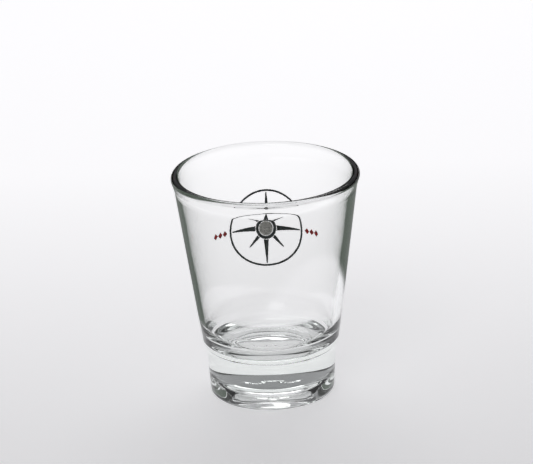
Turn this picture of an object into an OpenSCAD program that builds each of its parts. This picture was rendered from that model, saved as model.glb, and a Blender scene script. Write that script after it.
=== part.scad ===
// Shot glass: a heavy-based pressed glass with a rolled rim and a recessed foot,
// decorated on its far wall with a plain ringed star in thin fired enamel.
// Origin at the centre of the foot, +Z up, motif towards +Y. Millimetres.

/* [Glass] */
// Overall height
glass_h = 60; // [48:1:75]
// Outside diameter the straight wall would have at the very top
mouth_d = 48; // [42:0.5:60]
// Outside diameter of the wall where it meets the shoulder
waist_d = 35.5; // [29:0.5:43]
// Thickness of the wall, measured level
wall_t = 1.6; // [1.2:0.1:2.4]
// Thickness of the rounded bead at the rim
rim_t = 2.1; // [1.8:0.1:2.8]
// How far the bead stands out past the line of the wall
rim_out = 0.42; // [0.2:0.02:0.6]
// Depth below the top at which the wall starts to turn out into the rim
neck_drop = 3.6; // [3:0.2:6]

/* [Base] */
// Height of the shoulder where the wall sits on the base
shoulder_h = 13.8; // [10:0.2:17]
// How far the base is set in from the wall at the shoulder
shoulder_step = 0.7; // [0.3:0.1:1.2]
// Outside diameter of the base at the foot, before its edge is rounded
foot_d = 32.4; // [28:0.2:35]
// Radius of the rounded outer edge of the foot
foot_edge_r = 0.9; // [0.6:0.1:1.6]
// Height of the cup's floor above the table
floor_h = 12.7; // [10:0.1:17]
// Radius of the fillet between the cup's wall and floor
floor_fillet = 9; // [3:0.5:10]

/* [Recess under the base] */
// Height of the recess at its flat crown
recess_h = 4.2; // [2:0.2:6]
// Diameter of the flat crown of the recess
crown_d = 16.8; // [12:0.2:18]
// Share of the width from crown to mouth taken by the gentle brim round the crown
brim_share = 0.4; // [0.3:0.05:0.6]
// Share of the recess's height that the brim drops by
brim_drop = 0.1; // [0.05:0.01:0.2]
// Width of the flat ring that the glass stands on
foot_land = 0.4; // [0.3:0.1:1]
// Width of the moulded wave mark on the crown
relief_w = 9; // [5:0.5:11]
// Height of the moulded wave mark
relief_h = 0.25; // [0.15:0.05:0.5]

/* [Print] */
// Thickness of the fired enamel
ink_t = 0.08; // [0.05:0.01:0.15]
// Bare wall left between the neck and the top of the motif
print_below_neck = 9.3; // [5:0.1:13]
// Bare wall left between the shoulder and the bottom of the motif
print_above_shoulder = 12.9; // [8:0.1:17]
// Gap left between neighbouring islands of enamel
ink_gap = 0.12; // [0.08:0.01:0.3]

/* [Motif, drawn at full size] */
// Outside diameter of the ring round the star on the drawing
ring_d = 20.4; // [18:0.2:24]
// Width of that ring
ring_w = 0.5; // [0.3:0.05:1]
// Radius of the dark hub
hub_r = 2.9; // [2.4:0.1:3.6]
// Radius of the pale disc inside the hub
centre_r = 1.95; // [1:0.05:2]
// Width that the four long rays would have at the star's centre
long_ray_w = 1.9; // [1:0.1:2.2]
// Width that the four short rays would have at the star's centre
short_ray_w = 1.5; // [0.8:0.1:1.8]
// Length of the short rays from the star's centre
short_ray = 6.8; // [5:0.2:8]
// Number of lozenges in each red row
band_blocks = 3; // [2:1:4]
// Height of the lozenges
band_h = 1.65; // [1:0.05:2.5]
// Length of each red row
band_l = 4; // [3:0.1:4.4]

/* [Hidden] */
$fn = 96;
eps = 0.02;

// Colours of the glass and of the three enamels
glass_colour = [0.82, 0.90, 0.87, 0.35];
dark_enamel = [0.17, 0.20, 0.22];
grey_enamel = [0.62, 0.61, 0.58];
red_enamel = [0.58, 0.08, 0.10];

// The rim bead is a round of radius bead_r whose centre stands bead_r below the top
bead_r = rim_t / 2;
bead_z = glass_h - bead_r;
wall_slope = (mouth_d - waist_d) / 2 / (glass_h - shoulder_h);
function wall_r(z) = waist_d / 2 + wall_slope * (z - shoulder_h);
bead_c = wall_r(bead_z) + rim_out - bead_r;
// Neck: where the straight wall turns out towards the bead
neck_z = glass_h - neck_drop;
base_top_z = shoulder_h - shoulder_step;
base_top_r = waist_d / 2 - shoulder_step;
recess_mouth_r = foot_d / 2 - foot_edge_r - foot_land;

// Arc of radius r about [cx, cy] from angle a0 to a1, in n steps
function arc(cx, cy, r, a0, a1, n) =
    [for (i = [0:n]) [cx + r * cos(a0 + (a1 - a0) * i / n), cy + r * sin(a0 + (a1 - a0) * i / n)]];
function unit(v) = v / norm(v);
// Angle from a to b, taken the short way round
function turn(a, b) = (b - a + 540) % 360 - 180;
// Corner at p between the points a and b, rounded to radius r in n steps
function corner(a, p, b, r, n) =
    let (u = unit(a - p), v = unit(b - p))
    let (half = acos(u * v) / 2, reach = r / tan(half))
    let (c = p + unit(u + v) * r / sin(half), s = p + u * reach - c, e = p + v * reach - c)
    let (a0 = atan2(s[1], s[0]), da = turn(a0, atan2(e[1], e[0])))
    arc(c[0], c[1], r, a0, a0 + da, n);
// Soft bend at p between a and b that starts and ends at a distance reach from p
function bend(a, p, b, reach, n) =
    let (s = p + unit(a - p) * reach, e = p + unit(b - p) * reach)
    [for (i = [0:n]) let (t = i / n) s * (1 - t) * (1 - t) + p * 2 * t * (1 - t) + e * t * t];
// Angle at which a line from p first touches the bead; side is 1 outside and -1 inside
function touch(p, side) =
    let (d = [bead_c, bead_z] - p)
    atan2(d[1], d[0]) - side * (asin(bead_r / norm(d)) + 90);
function on_bead(a) = [bead_c + bead_r * cos(a), bead_z + bead_r * sin(a)];

// Half section of the glass, from the middle of the recess round the outside and down the cup
foot_pt = [foot_d / 2, 0];
base_top_pt = [base_top_r, base_top_z];
waist_pt = [waist_d / 2, shoulder_h];
neck_out_pt = [wall_r(neck_z), neck_z];
neck_in_pt = [wall_r(neck_z) - wall_t, neck_z];
cup_foot_pt = [wall_r(floor_h) - wall_t, floor_h];
crown_pt = [crown_d / 2, recess_h];
mouth_pt = [recess_mouth_r, 0];
brim_w = brim_share * (recess_mouth_r - crown_d / 2);
brim_pt = [crown_d / 2 + brim_w, recess_h * (1 - brim_drop)];
out_a = touch(neck_out_pt, 1);
in_a = touch(neck_in_pt, -1);
neck_reach = 0.45 * min(norm(on_bead(out_a) - neck_out_pt), norm(on_bead(in_a) - neck_in_pt));
glass_section = concat(
    [[0, recess_h], crown_pt],
    bend(crown_pt, brim_pt, mouth_pt, 0.43 * brim_w, 10),
    [mouth_pt],
    corner([0, 0], foot_pt, base_top_pt, foot_edge_r, 10),
    [base_top_pt, waist_pt],
    bend(waist_pt, neck_out_pt, on_bead(out_a), neck_reach, 8),
    arc(bead_c, bead_z, bead_r, out_a, in_a, 32),
    bend(on_bead(in_a), neck_in_pt, cup_foot_pt, neck_reach, 8),
    corner(neck_in_pt, cup_foot_pt, [0, floor_h], floor_fillet, 16),
    [[0, floor_h]]
);

// Moulded mark: three half rings in a row that make a wave
module wave_outline() {
    wave_r = relief_w / 6;
    stroke = 0.5;
    for (i = [-1:1])
        translate([2 * wave_r * i, 0])
            intersection() {
                difference() {
                    circle(wave_r + stroke / 2);
                    circle(wave_r - stroke / 2);
                }
                side = (i == 0) ? 1 : -1;
                translate([-2 * wave_r, side > 0 ? -eps : eps - 2 * wave_r])
                    square([4 * wave_r, 2 * wave_r]);
            }
}

module glass_body() {
    color(glass_colour)
        union() {
            rotate_extrude() polygon(glass_section);
            translate([0, 0, recess_h - relief_h])
                linear_extrude(relief_h + 0.2) wave_outline();
        }
}

// The star is drawn flat in the XZ plane with its centre at [0, 0], then scaled to fill the
// bare wall between the rim and the shoulder and carried straight back onto the wall.
print_lo = shoulder_h + print_above_shoulder;
print_hi = neck_z - print_below_neck;
art_scale = (print_hi - print_lo) / ring_d;
hub_z = (print_lo + print_hi) / 2;
gap = ink_gap / art_scale;

module wall_skin() {
    rotate_extrude()
        polygon([
            [wall_r(shoulder_h), shoulder_h], [wall_r(shoulder_h) + ink_t, shoulder_h],
            [wall_r(neck_z) + ink_t, neck_z], [wall_r(neck_z), neck_z]
        ]);
}

// Lays a flat outline on the far wall as a film of enamel
module film() {
    intersection() {
        wall_skin();
        translate([0, mouth_d, hub_z])
            rotate([90, 0, 0])
                linear_extrude(mouth_d) scale(art_scale) children();
    }
}

// Tapered stroke from a to b, wa wide at a and wb wide at b
module stroke(a, b, wa, wb) {
    n = unit([a[1] - b[1], b[0] - a[0]]);
    polygon([a + n * wa / 2, a - n * wa / 2, b - n * wb / 2, b + n * wb / 2]);
}

// Hub: a dark ring with a pale disc inside it
module hub_ring() {
    color(dark_enamel) film() difference() {
        circle(hub_r);
        circle(centre_r + gap);
    }
}

module hub_centre() { color(grey_enamel) film() circle(centre_r); }

// Thin ring round the whole star
module outer_ring() {
    color(dark_enamel) film() difference() {
        circle(d = ring_d);
        circle(d = ring_d - 2 * ring_w);
    }
}

// Tapered ray that leaves the hub at an angle from straight up and stops at length
ray_tip = 0.3;
long_ray = ring_d / 2 - ring_w - 2 * gap;
module ray(angle, length, width) {
    color(dark_enamel) film() difference() {
        rotate(-angle) stroke([0, 0], [0, length], width, ray_tip);
        circle(hub_r + gap);
    }
}

module ray_north() { ray(0, long_ray, long_ray_w); }
module ray_east() { ray(90, long_ray, long_ray_w); }
module ray_south() { ray(180, long_ray, long_ray_w); }
module ray_west() { ray(270, long_ray, long_ray_w); }
module ray_north_east() { ray(45, short_ray, short_ray_w); }
module ray_south_east() { ray(135, short_ray, short_ray_w); }
module ray_south_west() { ray(225, short_ray, short_ray_w); }
module ray_north_west() { ray(315, short_ray, short_ray_w); }

// Red rows: plain lozenges in line with the hub, outside the ring on each side
band_start = ring_d / 2 + 0.6;
module band(side) {
    pitch = band_l / band_blocks;
    half = pitch / 2 - gap / 2;
    for (i = [0:band_blocks - 1])
        translate([side * (band_start + (i + 0.5) * pitch), 0])
            polygon([[-half, 0], [0, -band_h / 2], [half, 0], [0, band_h / 2]]);
}

module band_left() { color(red_enamel) film() band(-1); }
module band_right() { color(red_enamel) film() band(1); }

glass_body();
hub_ring();
hub_centre();
outer_ring();
ray_north();
ray_east();
ray_south();
ray_west();
ray_north_east();
ray_south_east();
ray_south_west();
ray_north_west();
band_left();
band_right();
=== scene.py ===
"""Looks for the shot glass: one pressed glass body and a small fired-enamel motif on its far wall."""
import math

import bmesh
import bpy
import numpy as np
from mathutils import Matrix, Vector


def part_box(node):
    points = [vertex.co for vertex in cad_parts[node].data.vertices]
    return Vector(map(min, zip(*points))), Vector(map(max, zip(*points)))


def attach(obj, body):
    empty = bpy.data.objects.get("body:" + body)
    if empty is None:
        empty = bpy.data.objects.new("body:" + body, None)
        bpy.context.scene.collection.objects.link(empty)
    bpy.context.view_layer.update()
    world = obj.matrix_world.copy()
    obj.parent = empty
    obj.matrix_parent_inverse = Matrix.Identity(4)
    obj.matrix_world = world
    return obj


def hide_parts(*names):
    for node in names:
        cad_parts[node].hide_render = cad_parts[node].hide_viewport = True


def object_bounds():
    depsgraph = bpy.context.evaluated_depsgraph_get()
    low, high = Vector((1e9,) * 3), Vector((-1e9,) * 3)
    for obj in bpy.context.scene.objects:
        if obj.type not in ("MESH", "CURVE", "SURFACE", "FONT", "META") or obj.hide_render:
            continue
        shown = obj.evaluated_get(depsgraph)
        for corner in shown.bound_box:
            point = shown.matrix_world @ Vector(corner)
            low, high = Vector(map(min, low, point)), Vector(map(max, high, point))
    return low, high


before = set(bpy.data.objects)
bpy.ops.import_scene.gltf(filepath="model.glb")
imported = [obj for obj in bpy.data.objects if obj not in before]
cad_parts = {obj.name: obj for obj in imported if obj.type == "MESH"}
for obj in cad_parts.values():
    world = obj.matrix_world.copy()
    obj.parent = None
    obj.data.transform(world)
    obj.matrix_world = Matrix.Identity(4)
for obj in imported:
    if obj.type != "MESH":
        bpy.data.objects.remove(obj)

cad_low, cad_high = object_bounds()
MM = 0.001

# --- Viewpoint -------------------------------------------------------------------------------
# A long lens at arm's length looks down on the glass, turned a little about its own axis.
# The aim point is a hair beside the glass's axis, almost three quarters of the way up.
glass_low, glass_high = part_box("glass_body")
aim = Vector((-0.2 * MM, 0, glass_low.z + 0.723 * (glass_high.z - glass_low.z)))
view_distance = 0.8
view_down = math.radians(21)
view_roll = math.radians(-2.06)

towards_camera = Vector((0, -math.cos(view_down), math.sin(view_down)))
level_right = (-towards_camera).cross(Vector((0, 0, 1))).normalized()
level_up = level_right.cross(-towards_camera)
right = level_right * math.cos(view_roll) + level_up * math.sin(view_roll)
up = level_up * math.cos(view_roll) - level_right * math.sin(view_roll)

camera_data = bpy.data.cameras.new("camera")
camera_data.sensor_width = 36
camera_data.lens = 209.3
camera_data.clip_end = 50
camera = bpy.data.objects.new("camera", camera_data)
bpy.context.scene.collection.objects.link(camera)
camera.matrix_world = Matrix((right, up, towards_camera)).transposed().to_4x4()
camera.matrix_world.translation = aim + towards_camera * view_distance
bpy.context.scene.camera = camera

# --- Glass body ------------------------------------------------------------------------------
# One gob of clear soda-lime glass, pressed in a mould with a plunger, then fire-polished at
# the rim. The outside follows the mould: base, shoulder, straight taper, rolled rim. The
# plunger leaves the cup a hair off centre and its wall faintly uneven.
glass_height = glass_high.z / MM
mouth_radius = 24.0
waist_radius = 17.75
shoulder_height = 13.8
shoulder_step = 0.7
foot_radius = 16.2
foot_edge = 0.9
foot_land = 0.4
wall = 1.6
rim_bead = 1.05
rim_out = 0.42
neck_drop = 3.6
neck_bend = 0.45
floor_height = 12.7
floor_fillet = 9.0
recess_height = 4.2
crown_radius = 8.4
brim_share = 0.4
brim_drop = 0.1

wall_slope = (mouth_radius - waist_radius) / (glass_height - shoulder_height)
rim_height = glass_height - rim_bead
neck_height = glass_height - neck_drop


def outside(height):
    """Radius of the tapered outer wall at a height, in mm."""
    return waist_radius + wall_slope * (height - shoulder_height)


def arc(centre, radius, start, end, steps):
    """Points along an arc, angles in degrees."""
    angles = [math.radians(start + (end - start) * i / steps) for i in range(steps + 1)]
    return [centre + radius * Vector((math.cos(a), math.sin(a))) for a in angles]


def rounded(before, point, after, radius, steps):
    """The corner at point, rounded off between its two neighbours."""
    a, b = (before - point).normalized(), (after - point).normalized()
    half = a.angle(b) / 2
    centre = point + (a + b).normalized() * radius / math.sin(half)
    reach = radius / math.tan(half)
    first, last = point + a * reach - centre, point + b * reach - centre
    start = math.degrees(math.atan2(first.y, first.x))
    turn = math.degrees(math.atan2(last.y, last.x)) - start
    return arc(centre, radius, start, start + (turn + 180) % 360 - 180, steps)


def filled_in(points, longest):
    """The same line with its straight runs cut up, closest near their ends."""
    line = [points[0]]
    for a, b in zip(points, points[1:]):
        cuts = max(1, math.ceil((b - a).length / longest))
        for i in range(1, cuts + 1):
            share = (1 - math.cos(math.pi * i / cuts)) / 2 if cuts > 2 else i / cuts
            line.append(a.lerp(b, share))
    return line


def bent(before, point, after, reach):
    """A soft bend at point that starts and ends at a distance from it."""
    start = point + (before - point).normalized() * reach
    end = point + (after - point).normalized() * reach
    shares = [i / 8 for i in range(9)]
    return [start * (1 - t) ** 2 + point * 2 * t * (1 - t) + end * t * t for t in shares]


def tangent_angle(start, side):
    """Angle on the rim's bead where a line from start touches it; side is 1 outside, -1 inside."""
    reach = rim_centre - start
    aside = math.asin(rim_bead / reach.length)
    return math.degrees(math.atan2(reach.y, reach.x) - side * aside) - side * 90


rim_centre = Vector((outside(rim_height) + rim_out - rim_bead, rim_height))
neck_out = Vector((outside(neck_height), neck_height))
neck_in = Vector((outside(neck_height) - wall, neck_height))
bead = arc(rim_centre, rim_bead, tangent_angle(neck_out, 1), 90, 26)
bead_back = arc(rim_centre, rim_bead, 90, tangent_angle(neck_in, -1), 26)
neck_reach = neck_bend * min((bead[0] - neck_out).length, (bead_back[-1] - neck_in).length)
crown_edge = Vector((crown_radius, recess_height))
recess_edge = Vector((foot_radius - foot_edge - foot_land, 0))
brim_width = brim_share * (recess_edge.x - crown_radius)
brim = Vector((crown_radius + brim_width, recess_height * (1 - brim_drop)))
foot = Vector((foot_radius, 0))
base_top = Vector((waist_radius - shoulder_step, shoulder_height - shoulder_step))
waist = Vector((waist_radius, shoulder_height))
cup_foot = Vector((outside(floor_height) - wall, floor_height))
cup_centre = Vector((0, floor_height))

crown = filled_in([Vector((0, recess_height)), crown_edge], 0.18)
side = (
    bent(crown_edge, brim, recess_edge, 0.43 * brim_width) + rounded(brim, recess_edge, foot, 0.25, 6)
    + rounded(recess_edge, foot, base_top, foot_edge, 10) + rounded(foot, base_top, waist, 0.5, 8)
    + rounded(base_top, waist, neck_out, 0.35, 8) + bent(waist, neck_out, bead[0], neck_reach) + bead)
cup = (
    bead_back + bent(bead_back[-1], neck_in, cup_foot, neck_reach)
    + rounded(neck_in, cup_foot, cup_centre, floor_fillet, 24) + [cup_centre])
outer = filled_in(crown + side, 1.0)
inner = filled_in(cup, 1.0)[1:]
section = outer + inner
outer_count = len(outer)

profile = bpy.data.meshes.new("glass_section")
profile.from_pydata(
    [(p.x * MM, 0, p.y * MM) for p in section], [(i, i + 1) for i in range(len(section) - 1)], []
)
in_cup = profile.attributes.new("in_cup", "FLOAT", "POINT")
in_cup.data.foreach_set("value", [
    min(1, max(0, (rim_height - p.y) / neck_drop)) if i >= outer_count else 0.0
    for i, p in enumerate(section)])
in_crown = profile.attributes.new("in_crown", "FLOAT", "POINT")
in_crown.data.foreach_set("value", [float(p.x < crown_radius - 0.4 and i < outer_count)
                                    for i, p in enumerate(section)])
glass_turned = bpy.data.objects.new("glass_turned", profile)
bpy.context.scene.collection.objects.link(glass_turned)


class Tree:
    """A Geometry Nodes tree under construction, with short calls for its nodes and links."""

    def __init__(self, name):
        self.group = bpy.data.node_groups.new(name, "GeometryNodeTree")
        self.group.interface.new_socket("Geometry", in_out="INPUT", socket_type="NodeSocketGeometry")
        self.group.interface.new_socket("Geometry", in_out="OUTPUT", socket_type="NodeSocketGeometry")
        self.start = self.group.nodes.new("NodeGroupInput")
        self.end = self.group.nodes.new("NodeGroupOutput")

    def size(self, name, kind, value):
        """A named input; returns its socket."""
        socket = self.group.interface.new_socket(name, in_out="INPUT", socket_type=kind)
        if value is not None:
            socket.default_value = value
        return self.start.outputs[name]

    def put(self, value, socket):
        if isinstance(value, bpy.types.NodeSocket):
            self.group.links.new(value, socket)
        else:
            socket.default_value = value

    def node(self, kind, inputs=None, output=0, **settings):
        """A node with its settings and inputs; returns one of its output sockets."""
        made = self.group.nodes.new(kind)
        for key, value in settings.items():
            setattr(made, key, value)
        for key, value in (inputs or {}).items():
            self.put(value, made.inputs[key])
        return made.outputs[output]

    def math(self, operation, a, b=0.0):
        return self.node("ShaderNodeMath", {0: a, 1: b}, operation=operation)

    def xyz(self, x, y, z):
        return self.node("ShaderNodeCombineXYZ", {0: x, 1: y, 2: z})

    def finish(self, geometry, material):
        """Ends the tree as the export needs it: real geometry with its material set."""
        real = self.node("GeometryNodeRealizeInstances", {"Geometry": geometry})
        skin = self.node("GeometryNodeSetMaterial", {"Geometry": real, "Material": material})
        self.group.links.new(skin, self.end.inputs[0])


def run_tree(holder, tree, values, name):
    """Runs a tree on holder and returns its result as a plain object with that name."""
    modifier = holder.modifiers.new(tree.group.name, "NODES")
    modifier.node_group = tree.group
    for item in tree.group.interface.items_tree:
        if item.in_out == "INPUT" and item.name in values:
            modifier[item.identifier] = values[item.name]
    ready = holder.evaluated_get(bpy.context.evaluated_depsgraph_get())
    mesh = bpy.data.meshes.new_from_object(ready)
    mesh.name = name
    holder.modifiers.clear()
    bpy.data.objects.remove(holder)
    piece = bpy.data.objects.new(name, mesh)
    bpy.context.scene.collection.objects.link(piece)
    return piece


turning = Tree("turn_on_axis")
segments = turning.size("Segments", "NodeSocketInt", 288)
off_centre = turning.size("Cup Off Centre", "NodeSocketFloat", 0.0)
unevenness = turning.size("Plunger Unevenness", "NodeSocketFloat", 0.0)
mark_radius = turning.size("Mark Wave Radius", "NodeSocketFloat", 0.0)
mark_stroke = turning.size("Mark Stroke", "NodeSocketFloat", 0.0)
mark_height = turning.size("Mark Height", "NodeSocketFloat", 0.0)
glass_material_in = turning.size("Material", "NodeSocketMaterial", None)

section_in = turning.start.outputs["Geometry"]
ring_count = turning.node("GeometryNodeAttributeDomainSize", {0: section_in}, "Point Count")
spokes = turning.math("ADD", segments, 1.0)
sheet = turning.node("GeometryNodeMeshGrid", {"Vertices X": ring_count, "Vertices Y": spokes})
index = turning.node("GeometryNodeInputIndex")
ring = turning.math("FLOOR", turning.math("DIVIDE", turning.math("ADD", index, 0.5), spokes))
spoke = turning.math("SUBTRACT", index, turning.math("MULTIPLY", ring, spokes))
angle = turning.math("MULTIPLY", turning.math("DIVIDE", spoke, segments), 2 * math.pi)


def sampled(kind, value):
    """A value of the section, read at this vertex's ring."""
    return turning.node("GeometryNodeSampleIndex", {
        "Geometry": section_in, "Value": value, "Index": ring}, data_type=kind)


def section_value(name):
    """One of the section's own attributes, read at this vertex's ring."""
    return sampled("FLOAT", turning.node("GeometryNodeInputNamedAttribute", {"Name": name},
                                         data_type="FLOAT"))


place = turning.node("ShaderNodeSeparateXYZ",
                     {0: sampled("FLOAT_VECTOR", turning.node("GeometryNodeInputPosition"))})
radius = place
height = place.node.outputs[2]
cup_share = section_value("in_cup")
across = turning.math("COSINE", angle)
along = turning.math("SINE", angle)

# Faint waves that the plunger leaves in the cup's wall, read on a circle so that the seam closes
ripple_at = turning.xyz(across, along, turning.math("MULTIPLY", height, 60.0))
ripple = turning.node("ShaderNodeTexNoise", {"Vector": ripple_at, "Scale": 1.3, "Detail": 1.0},
                      noise_dimensions="3D")
swell = turning.math("MULTIPLY", turning.math("SUBTRACT", ripple, 0.5),
                     turning.math("MULTIPLY", unevenness, cup_share))
waved = turning.math("MAXIMUM", turning.math("ADD", radius, swell), 0.0)
waved_flat = turning.math("MULTIPLY", waved, turning.math("GREATER_THAN", radius, 1e-6))
x = turning.math("ADD", turning.math("MULTIPLY", waved_flat, across),
                 turning.math("MULTIPLY", off_centre, cup_share))
y = turning.math("MULTIPLY", waved_flat, along)

# The mould's mark on the recess's crown: three half rings in a row, as one raised wave
raised = 0.0
for step, side_up in ((-2.0, -1.0), (0.0, 1.0), (2.0, -1.0)):
    from_centre = turning.math("SUBTRACT", x, turning.math("MULTIPLY", mark_radius, step))
    reach = turning.math("SQRT", turning.math("ADD", turning.math("MULTIPLY", from_centre, from_centre),
                                              turning.math("MULTIPLY", y, y)))
    off_line = turning.math("ABSOLUTE", turning.math("SUBTRACT", reach, mark_radius))
    bump = turning.node("ShaderNodeMapRange", {
        "Value": turning.math("DIVIDE", off_line, mark_stroke), "From Min": 0.0, "From Max": 1.0,
        "To Min": 1.0, "To Max": 0.0}, interpolation_type="SMOOTHSTEP")
    gate = turning.math("GREATER_THAN", turning.math("MULTIPLY", y, side_up), -1e-6)
    raised = turning.math("MAXIMUM", raised, turning.math("MULTIPLY", bump, gate))
drop = turning.math("MULTIPLY", turning.math("MULTIPLY", raised, mark_height), section_value("in_crown"))
z = turning.math("SUBTRACT", height, drop)

turned = turning.node("GeometryNodeSetPosition", {"Geometry": sheet, "Position": turning.xyz(x, y, z)})
closed = turning.node("GeometryNodeMergeByDistance", {"Geometry": turned, "Distance": 1e-6})
outwards = turning.node("GeometryNodeFlipFaces", {"Mesh": closed})
smooth = turning.node("GeometryNodeSetShadeSmooth", {0: outwards})
turning.finish(smooth, glass_material_in)

# Clear glass: colourless on its surface, a green tint only where the light goes a long way
# through it, and a skin that fire polishing left very slightly rippled.
clear_glass = bpy.data.materials.new("clear_glass")
clear_glass.use_nodes = True
glass_nodes, glass_links = clear_glass.node_tree.nodes, clear_glass.node_tree.links
glass_skin = glass_nodes["Principled BSDF"]
glass_skin.inputs["Base Color"].default_value = (1, 1, 1, 1)
glass_skin.inputs["Transmission Weight"].default_value = 1.0
glass_skin.inputs["Roughness"].default_value = 0.0
glass_skin.inputs["IOR"].default_value = 1.52
tint = glass_nodes.new("ShaderNodeVolumeAbsorption")
tint.inputs["Color"].default_value = (0.72, 0.86, 0.76, 1)
tint.inputs["Density"].default_value = 7.0
glass_links.new(tint.outputs["Volume"], glass_nodes["Material Output"].inputs["Volume"])
glass_place = glass_nodes.new("ShaderNodeTexCoord")
skin_waves = glass_nodes.new("ShaderNodeTexNoise")
skin_waves.inputs["Scale"].default_value = 160.0
skin_waves.inputs["Detail"].default_value = 2.0
skin_bump = glass_nodes.new("ShaderNodeBump")
skin_bump.inputs["Strength"].default_value = 0.12
skin_bump.inputs["Distance"].default_value = 0.02 * MM
glass_links.new(glass_place.outputs["Object"], skin_waves.inputs["Vector"])
glass_links.new(skin_waves.outputs["Fac"], skin_bump.inputs["Height"])
glass_links.new(skin_bump.outputs["Normal"], glass_skin.inputs["Normal"])

glass = run_tree(glass_turned, turning, {
    "Segments": 288, "Cup Off Centre": -0.25 * MM, "Plunger Unevenness": 0.1 * MM,
    "Mark Wave Radius": 1.5 * MM, "Mark Stroke": 0.45 * MM, "Mark Height": 0.32 * MM,
    "Material": clear_glass}, "glass_body_clear")
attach(glass, "root")
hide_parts("glass_body")

# --- Dark enamel -----------------------------------------------------------------------------
# A plain ringed star is screen-printed on the outside of the far wall in blue-black enamel and
# fired on. It is a film of separate islands: hub ring, outer ring and eight tapered rays.
hub_height = 36.9
print_cell = 0.075
edge_wander = 0.045
island_gap = 0.12
film_thickness, depth_fused_in = 0.06, 0.015
ring_radius, ring_width = 10.2, 0.5
hub_radius, centre_radius = 2.9, 1.95
long_ray = ring_radius - ring_width - 2 * island_gap
short_ray = 6.8
long_ray_width, short_ray_width, ray_tip = 1.9, 1.5, 0.3


def disc(centre, radius):
    """Field of a disc: below 0 inside it, above 0 outside, about its distance from the edge."""
    return lambda x, z: np.hypot(x - centre[0], z - centre[1]) - radius


def stroke(start, end, width_start, width_end):
    """Field of a straight stroke that tapers from one width to another."""
    (ax, az), (bx, bz) = start, end
    length = math.hypot(bx - ax, bz - az)
    ux, uz = (bx - ax) / length, (bz - az) / length

    def field(x, z):
        along = (x - ax) * ux + (z - az) * uz
        off = np.abs((z - az) * ux - (x - ax) * uz)
        half = (width_start + (width_end - width_start) * np.clip(along / length, 0, 1)) / 2
        return np.maximum(off - half, np.maximum(-along, along - length))
    return field


def joined(*fields):
    """Field of several shapes taken as one."""
    return lambda x, z: np.minimum.reduce([field(x, z) for field in fields])


def cut(field, *holes):
    """One field less others, with the bare gap that the print leaves round each."""
    return lambda x, z: np.maximum.reduce([field(x, z)] + [island_gap - hole(x, z) for hole in holes])


def wander(x, z):
    """The uneven edge that a coarse screen leaves, mostly a few hundredths of a millimetre deep."""
    waves = ((9.1, 4.3, 0.3), (-6.7, 12.9, 1.9), (17.3, -8.1, 4.4), (5.9, 21.7, 2.6), (-23.1, 11.3, 5.2))
    return edge_wander * sum(np.sin(a * x + b * z + c) for a, b, c in waves) / 2.2


def printed_sheet(name, field, low, high):
    """A flat mesh in the XZ plane of everything inside a field, drawn in mm round the hub."""
    across = np.arange(low[0], high[0] + print_cell, print_cell)
    upward = np.arange(low[1], high[1] + print_cell, print_cell)
    x, z = np.meshgrid(across, upward, indexing="ij")
    value = field(x, z) + wander(x, z)
    value[[0, -1], :] = value[:, [0, -1]] = 1
    points, numbers, faces = [], {}, []

    def number(key, place):
        if key not in numbers:
            numbers[key] = len(points)
            points.append((place[0] * MM, 0, place[1] * MM))
        return numbers[key]

    inside = value < 0
    touched = inside[:-1, :-1] | inside[1:, :-1] | inside[:-1, 1:] | inside[1:, 1:]
    for i, j in zip(*np.nonzero(touched)):
        face = []
        corners = [(i, j), (i, j + 1), (i + 1, j + 1), (i + 1, j)]
        for here, then in zip(corners, corners[1:] + corners[:1]):
            at = (across[here[0]], upward[here[1]])
            if inside[here]:
                face.append(number(here, at))
            if inside[here] != inside[then]:
                share = min(0.98, max(0.02, value[here] / (value[here] - value[then])))
                to = (across[then[0]], upward[then[1]])
                place = (at[0] + (to[0] - at[0]) * share, at[1] + (to[1] - at[1]) * share)
                if here > then:
                    here, then = then, here
                face.append(number((here, then), place))
        faces.append(face)
    mesh = bpy.data.meshes.new(name)
    mesh.from_pydata(points, [], faces)
    flat = bpy.data.objects.new(name + "_flat", mesh)
    bpy.context.scene.collection.objects.link(flat)
    return flat


laying = Tree("lay_on_wall")
hub_up = laying.size("Hub Height", "NodeSocketFloat", 0.0)
waist_in = laying.size("Waist Radius", "NodeSocketFloat", 0.0)
waist_up = laying.size("Waist Height", "NodeSocketFloat", 0.0)
slope_in = laying.size("Wall Slope", "NodeSocketFloat", 0.0)
film_in = laying.size("Film Thickness", "NodeSocketFloat", 0.0)
sunk_in = laying.size("Depth Fused In", "NodeSocketFloat", 0.0)
enamel_in = laying.size("Material", "NodeSocketMaterial", None)
drawing = laying.start.outputs["Geometry"]
raised_film = laying.node("GeometryNodeExtrudeMesh", {
    "Mesh": drawing, "Offset Scale": 0.0, "Individual": False})
top_marked = laying.node("GeometryNodeSetPosition", {
    "Geometry": raised_film, "Selection": raised_film.node.outputs["Top"], "Offset": (0, 1, 0)})
underside = laying.node("GeometryNodeFlipFaces", {"Mesh": drawing})
both_sides = laying.node("GeometryNodeJoinGeometry", {0: top_marked})
laying.put(underside, both_sides.node.inputs[0])
welded = laying.node("GeometryNodeMergeByDistance", {"Geometry": both_sides, "Distance": 1e-8})
flat_place = laying.node("ShaderNodeSeparateXYZ", {0: laying.node("GeometryNodeInputPosition")})
wall_x = flat_place
wall_z = laying.math("ADD", flat_place.node.outputs[2], hub_up)
wall_radius = laying.math("ADD", waist_in, laying.math(
    "MULTIPLY", slope_in, laying.math("SUBTRACT", wall_z, waist_up)))
is_top = laying.math("GREATER_THAN", flat_place.node.outputs[1], 0.5)
film_radius = laying.math("ADD", laying.math("SUBTRACT", wall_radius, sunk_in), laying.math(
    "MULTIPLY", is_top, laying.math("ADD", film_in, sunk_in)))
wall_y = laying.math("SQRT", laying.math("SUBTRACT", laying.math(
    "MULTIPLY", film_radius, film_radius), laying.math("MULTIPLY", wall_x, wall_x)))
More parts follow.
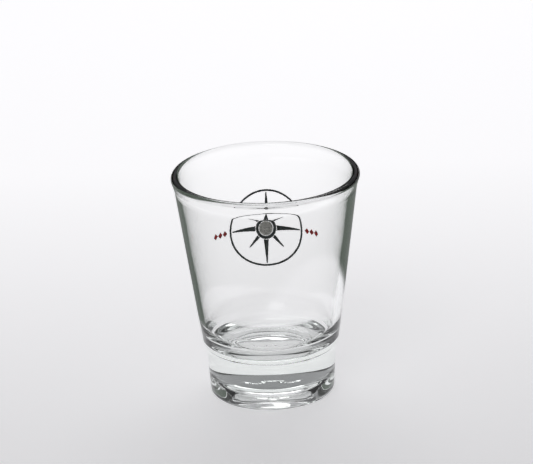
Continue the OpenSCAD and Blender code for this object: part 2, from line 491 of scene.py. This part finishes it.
laid = laying.node("GeometryNodeSetPosition", {
    "Geometry": welded, "Position": laying.xyz(wall_x, wall_y, wall_z)})
laying.finish(laid, enamel_in)


def fired_on(node, field, low, high, enamel):
    """Prints one island in place of a CAD node and fuses it to the wall."""
    film = run_tree(printed_sheet(node, field, low, high), laying, {
        "Hub Height": hub_height * MM, "Waist Radius": waist_radius * MM,
        "Waist Height": shoulder_height * MM, "Wall Slope": wall_slope,
        "Film Thickness": film_thickness * MM, "Depth Fused In": depth_fused_in * MM,
        "Material": enamel}, node + "_enamel")
    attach(film, "root")
    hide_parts(node)


def enamel(name, thin, thick, grain, rough):
    """Fired enamel: pigment that lies thinner and thicker in small patches, over a fine grain."""
    paint = bpy.data.materials.new(name)
    paint.use_nodes = True
    nodes, links = paint.node_tree.nodes, paint.node_tree.links
    skin = nodes["Principled BSDF"]
    place = nodes.new("ShaderNodeTexCoord")
    patches = nodes.new("ShaderNodeTexNoise")
    patches.inputs["Scale"].default_value = 900.0
    patches.inputs["Detail"].default_value = 4.0
    cover = nodes.new("ShaderNodeValToRGB")
    cover.color_ramp.elements[0].position, cover.color_ramp.elements[0].color = 0.36, (*thick, 1)
    cover.color_ramp.elements[1].position, cover.color_ramp.elements[1].color = 0.74, (*thin, 1)
    specks = nodes.new("ShaderNodeTexVoronoi")
    specks.inputs["Scale"].default_value = grain
    dots = nodes.new("ShaderNodeValToRGB")
    dots.color_ramp.elements[0].position, dots.color_ramp.elements[0].color = 0.25, (0.82, 0.82, 0.82, 1)
    dots.color_ramp.elements[1].position, dots.color_ramp.elements[1].color = 0.45, (1, 1, 1, 1)
    blend = nodes.new("ShaderNodeMix")
    blend.data_type, blend.blend_type = "RGBA", "MULTIPLY"
    blend.inputs["Factor"].default_value = 1.0
    relief = nodes.new("ShaderNodeBump")
    relief.inputs["Strength"].default_value = 0.3
    relief.inputs["Distance"].default_value = 0.02 * MM
    links.new(place.outputs["Object"], patches.inputs["Vector"])
    links.new(place.outputs["Object"], specks.inputs["Vector"])
    links.new(patches.outputs["Fac"], cover.inputs["Fac"])
    links.new(specks.outputs["Distance"], dots.inputs["Fac"])
    links.new(cover.outputs["Color"], blend.inputs["A"])
    links.new(dots.outputs["Color"], blend.inputs["B"])
    links.new(blend.outputs["Result"], skin.inputs["Base Color"])
    links.new(patches.outputs["Fac"], relief.inputs["Height"])
    links.new(relief.outputs["Normal"], skin.inputs["Normal"])
    skin.inputs["Roughness"].default_value = rough
    skin.inputs["Specular IOR Level"].default_value = 0.15
    return paint


dark_enamel = enamel("dark_enamel", (0.075, 0.085, 0.095), (0.010, 0.014, 0.018), 4200.0, 0.42)
centre = (0, 0)
hub = disc(centre, hub_radius)
star_high = (ring_radius + 0.3, ring_radius + 0.3)
star_low = (-ring_radius - 0.3, -ring_radius - 0.3)
fired_on("hub_ring", cut(hub, disc(centre, centre_radius)),
         (-3.4, -3.4), (3.4, 3.4), dark_enamel)

# cut() leaves its gap round a hole, so the hole is drawn smaller by that gap
ring_hole = disc(centre, ring_radius - ring_width - island_gap)
fired_on("outer_ring", cut(disc(centre, ring_radius), ring_hole),
         star_low, star_high, dark_enamel)

long_size, short_size = (long_ray, long_ray_width), (short_ray, short_ray_width)
rays = (
    ("ray_north", 0, long_size), ("ray_east", 90, long_size),
    ("ray_south", 180, long_size), ("ray_west", 270, long_size),
    ("ray_north_east", 45, short_size), ("ray_south_east", 135, short_size),
    ("ray_south_west", 225, short_size), ("ray_north_west", 315, short_size))
for name, angle, (length, width) in rays:
    tip = (length * math.sin(math.radians(angle)), length * math.cos(math.radians(angle)))
    fired_on(name, cut(stroke(centre, tip, width, ray_tip), hub),
             star_low, star_high, dark_enamel)

# --- Grey enamel -----------------------------------------------------------------------------
# The disc inside the hub, printed in a warm pale grey through a coarser screen, so that the
# dots of the screen still show. It sits in the dark hub ring with a hair of bare glass round it,
# which the uneven edges close in a few spots.
grey_enamel = enamel("grey_enamel", (0.95, 0.93, 0.88), (0.72, 0.70, 0.65), 2600.0, 0.5)
centre_dots = [node for node in grey_enamel.node_tree.nodes if node.type == "VALTORGB"][1]
centre_dots.color_ramp.elements[0].color = (0.35, 0.35, 0.35, 1)
fired_on("hub_centre", disc(centre, centre_radius),
         (-2.5, -2.5), (2.5, 2.5), grey_enamel)

# --- Red enamel ------------------------------------------------------------------------------
# Two rows of plain lozenges, one each side of the ring and level with its centre, in a deep
# red that is a little lighter where it lies thin.
band_blocks = 3
band_height = 1.65
band_length = 4.0
band_start = ring_radius + 0.6
red_enamel = enamel("red_enamel", (0.74, 0.006, 0.012), (0.62, 0.001, 0.003), 3400.0, 0.38)


def lozenge(centre, half_width, half_height):
    """Field of a lozenge with its corners level with, straight above and below its centre."""
    slant = half_width * half_height / math.hypot(half_width, half_height)

    def field(x, z):
        across, upward = np.abs(x - centre[0]) / half_width, np.abs(z - centre[1]) / half_height
        return slant * (across + upward - 1)
    return field


pitch = band_length / band_blocks
for name, side_sign in (("band_left", -1), ("band_right", 1)):
    middles = [side_sign * (band_start + (i + 0.5) * pitch) for i in range(band_blocks)]
    row = joined(*[lozenge((middle, 0), (pitch - island_gap) / 2, band_height / 2) for middle in middles])
    low_x = min(middles) - pitch
    fired_on(name, row, (low_x, -1.3), (low_x + band_length + pitch, 1.3), red_enamel)

# --- Table and light -------------------------------------------------------------------------
# A plain white table with a painted glow, under a soft box behind and a weaker one in front.
# Rays that the glass mirrors meet a table painted dark and a darker room, painted shade in place of dark
# flags; rays that go through it meet a table with a little more painted glow.
table_mesh = bpy.data.meshes.new("table")
table_shape = bmesh.new()
bmesh.ops.create_circle(table_shape, cap_ends=True, segments=128, radius=3.0)
table_shape.to_mesh(table_mesh)
table_shape.free()
table = bpy.data.objects.new("table", table_mesh)
bpy.context.scene.collection.objects.link(table)
table.location.z = cad_low.z - 0.02 * MM

table_white = bpy.data.materials.new("table_white")
table_white.use_nodes = True
table_nodes, table_links = table_white.node_tree.nodes, table_white.node_tree.links
table_skin = table_nodes["Principled BSDF"]
table_skin.inputs["Roughness"].default_value = 0.7
table_skin.inputs["Specular IOR Level"].default_value = 0.0
# Painted shade: the table's colour and glow turn near black for rays that the glass mirrors, in place of
# dark flags
painted_shade_mix = table_nodes.new("ShaderNodeMix")
painted_shade_mix.data_type = "RGBA"
painted_shade_mix.inputs["A"].default_value = (0.86, 0.855, 0.87, 1)
painted_shade_mix.inputs["B"].default_value = (0.06, 0.075, 0.06, 1)
table_links.new(painted_shade_mix.outputs["Result"], table_skin.inputs["Base Color"])
table_links.new(painted_shade_mix.outputs["Result"], table_skin.inputs["Emission Color"])


def table_math(operation, a, b):
    """One maths step of the table's material; each of a and b is a socket or a number."""
    step = table_nodes.new("ShaderNodeMath")
    step.operation = operation
    for socket, value in zip(step.inputs, (a, b)):
        if isinstance(value, bpy.types.NodeSocket):
            table_links.new(value, socket)
        else:
            socket.default_value = value
    return step.outputs[0]


light_path = table_nodes.new("ShaderNodeLightPath")
mirrored = table_math("GREATER_THAN", light_path.outputs["Glossy Depth"], 0.5)
table_place = table_nodes.new("ShaderNodeTexCoord")

# The middle of the painted shade lies a little to the right of the glass's axis
painted_shade_middle = (20 * MM, 0, 0)
from_middle = table_nodes.new("ShaderNodeVectorMath")
from_middle.operation = "DISTANCE"
from_middle.inputs[1].default_value = painted_shade_middle
table_links.new(table_place.outputs["Object"], from_middle.inputs[0])


def table_step(near, far):
    """0 nearer than near, 1 beyond far, smooth between; both in mm from painted_shade_middle."""
    step = table_nodes.new("ShaderNodeMapRange")
    step.interpolation_type = "SMOOTHSTEP"
    step.inputs["From Min"].default_value = near * MM
    step.inputs["From Max"].default_value = far * MM
    table_links.new(from_middle.outputs["Value"], step.inputs["Value"])
    return step.outputs["Result"]


# The painted shade darkens a ring of the table fully and the rest of it by a small share
share_elsewhere = 0.18
painted_shade_ring = table_math("SUBTRACT", table_step(58, 68), table_step(700, 900))
painted_shade_reach = table_math("MAXIMUM", painted_shade_ring, share_elsewhere)
through_glass = table_math("GREATER_THAN", light_path.outputs["Transmission Depth"], 0.5)
# Rays mirrored inside the glass take the painted shade whole, those off its outside four fifths of it
inner_share = table_math("MULTIPLY", table_math("ADD", through_glass, 4.0), 0.2)
painted_flag_shade = table_math("MULTIPLY", table_math("MULTIPLY", mirrored, inner_share), painted_shade_reach)
table_links.new(painted_flag_shade, painted_shade_mix.inputs["Factor"])

# Painted light: the table's own glow grows from front to back and fills in the glass's shadow
glow_through_glass = 0.09
depth_split = table_nodes.new("ShaderNodeSeparateXYZ")
table_links.new(table_place.outputs["Object"], depth_split.inputs[0])
painted_front_to_back_glow = table_nodes.new("ShaderNodeMapRange")
for name, value in (("From Min", -70 * MM), ("From Max", 170 * MM), ("To Min", 0.43), ("To Max", 0.72)):
    painted_front_to_back_glow.inputs[name].default_value = value
table_links.new(depth_split.outputs["Y"], painted_front_to_back_glow.inputs["Value"])
# Painted light: a little more glow where the table is seen through the glass
seen_through = table_math("MULTIPLY", through_glass, glow_through_glass)
glow = table_math("ADD", painted_front_to_back_glow.outputs["Result"], seen_through)
table_links.new(glow, table_skin.inputs["Emission Strength"])
table_mesh.materials.append(table_white)


def softbox(name, place, target, width, depth, power):
    """A rectangular area light at place, facing target."""
    lamp = bpy.data.lights.new(name, "AREA")
    lamp.shape = "RECTANGLE"
    lamp.size, lamp.size_y, lamp.energy = width, depth, power
    box = bpy.data.objects.new(name, lamp)
    bpy.context.scene.collection.objects.link(box)
    box.location = place
    box.rotation_euler = (Vector(target) - Vector(place)).to_track_quat("-Z", "Y").to_euler()


softbox("overhead_softbox", (0.05, 0.5, 0.65), (0.02, 0.25, 0), 0.65, 0.5, 1.5)
softbox("front_fill", (-0.25, -0.75, 0.8), (0, 0, 0.03), 0.5, 0.5, 1.4)

world = bpy.data.worlds.new("room")
world.use_nodes = True
bpy.context.scene.world = world
room_nodes, room_links = world.node_tree.nodes, world.node_tree.links
direction = room_nodes.new("ShaderNodeTexCoord")
split = room_nodes.new("ShaderNodeSeparateXYZ")
room_links.new(direction.outputs["Generated"], split.inputs[0])


def room_shades(*stops):
    """Colours of the room by the height a ray points at, each stop a sine of height and a colour."""
    ramp = room_nodes.new("ShaderNodeValToRGB")
    shades = ramp.color_ramp.elements
    shades[0].position, shades[0].color = stops[0][0], (*stops[0][1], 1)
    shades[1].position, shades[1].color = stops[-1][0], (*stops[-1][1], 1)
    for position, colour in stops[1:-1]:
        shades.new(position).color = (*colour, 1)
    room_links.new(split.outputs["Z"], ramp.inputs["Fac"])
    return ramp.outputs["Color"]


seen_straight = room_shades(
    (0.0, (0.9, 0.9, 0.92)), (0.12, (0.75, 0.75, 0.765)), (0.36, (0.27, 0.27, 0.2754)),
    (0.75, (0.03, 0.03, 0.032)))
seen_mirrored = room_shades(
    (0.24, (0.02, 0.022, 0.02)), (0.31, (0.24, 0.24, 0.2496)), (0.55, (0.27, 0.27, 0.2808)),
    (0.72, (0.5, 0.5, 0.52)))
room_path = room_nodes.new("ShaderNodeLightPath")
is_mirrored = room_nodes.new("ShaderNodeMath")
is_mirrored.operation = "GREATER_THAN"
is_mirrored.inputs[1].default_value = 0.5
room_shade = room_nodes.new("ShaderNodeMix")
room_shade.data_type = "RGBA"
room_links.new(room_path.outputs["Glossy Depth"], is_mirrored.inputs[0])
room_links.new(is_mirrored.outputs[0], room_shade.inputs["Factor"])
room_links.new(seen_straight, room_shade.inputs["A"])
room_links.new(seen_mirrored, room_shade.inputs["B"])
room_links.new(room_shade.outputs["Result"], room_nodes["Background"].inputs["Color"])
room_nodes["Background"].inputs["Strength"].default_value = 1.0

bpy.context.scene.view_settings.view_transform = "Standard"
light_bounces = 24
for limit in ("max_bounces", "transmission_bounces"):
    setattr(bpy.context.scene.cycles, limit, light_bounces)
